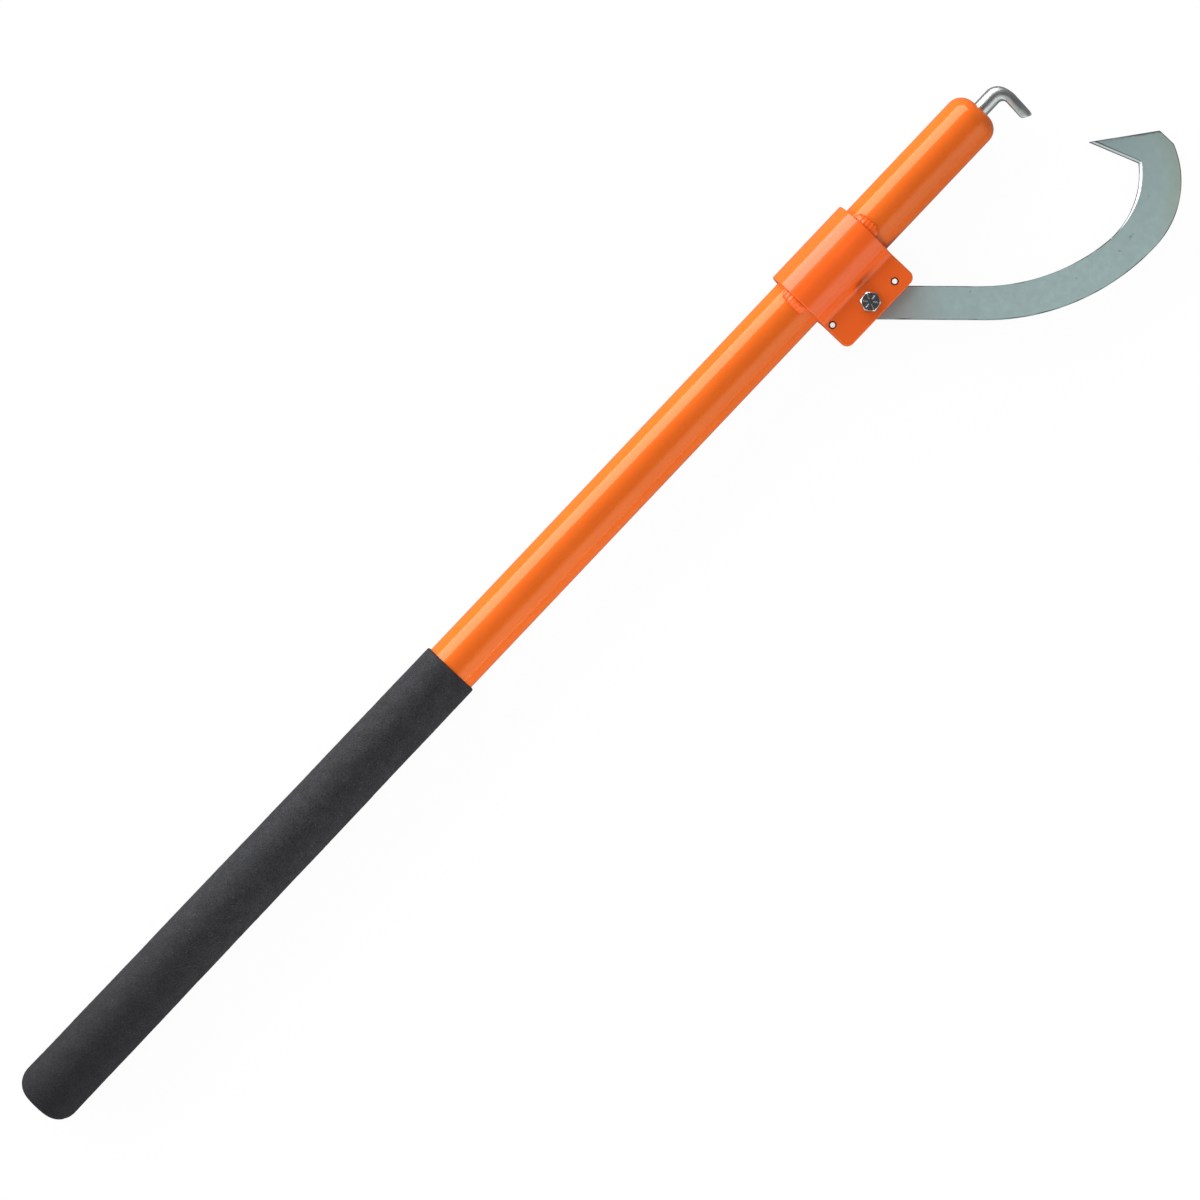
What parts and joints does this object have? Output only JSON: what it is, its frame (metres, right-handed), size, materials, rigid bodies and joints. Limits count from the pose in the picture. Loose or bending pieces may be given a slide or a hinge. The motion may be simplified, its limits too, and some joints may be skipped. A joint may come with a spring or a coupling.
{
  "type": "cant hook",
  "caption": "Cant hook with a painted steel-tube handle, a foam grip, a bent toe pick and a zinc-plated hook that swings on a bolted bracket.",
  "frame": {"origin": "centre of the grip's butt face, on the handle's axis", "axes": "+X along the handle to the toe pick, -Y towards the side on which the hook swings, +Z out of the side with the pivot bolt's head"},
  "size_m": [1.0239, 0.177, 0.0488],
  "materials": {
    "orange_paint": "gloss powder coat",
    "hook_zinc": "satin zinc plate",
    "bright_zinc": "bright zinc plate",
    "nylon": "matte",
    "black_plastic": "matte",
    "foam": "matte closed-cell foam"
  },
  "bodies": {
    "handle": {"handle_tube": "orange_paint", "nose_cap": "orange_paint", "toe_nut": "bright_zinc", "toe_pick": "bright_zinc", "hook_bracket": "orange_paint", "upper_weld": "orange_paint", "lower_weld": "orange_paint", "pivot_bolt": "bright_zinc", "nut_washer": "bright_zinc", "lock_nut": "bright_zinc", "nut_insert": "nylon", "upper_stop_pin": "bright_zinc", "lower_stop_pin": "bright_zinc", "foam_grip": "foam", "tube_plug": "black_plastic"},
    "hook": {"hook": "hook_zinc"}
  },
  "joints": [
    {"name": "hook_pivot", "type": "hinge", "parent": "handle", "child": "hook", "pos_m": [0.798, -0.03605, 0], "axis": [0, 0, -1], "range_deg": [0, 120]}
  ]
}
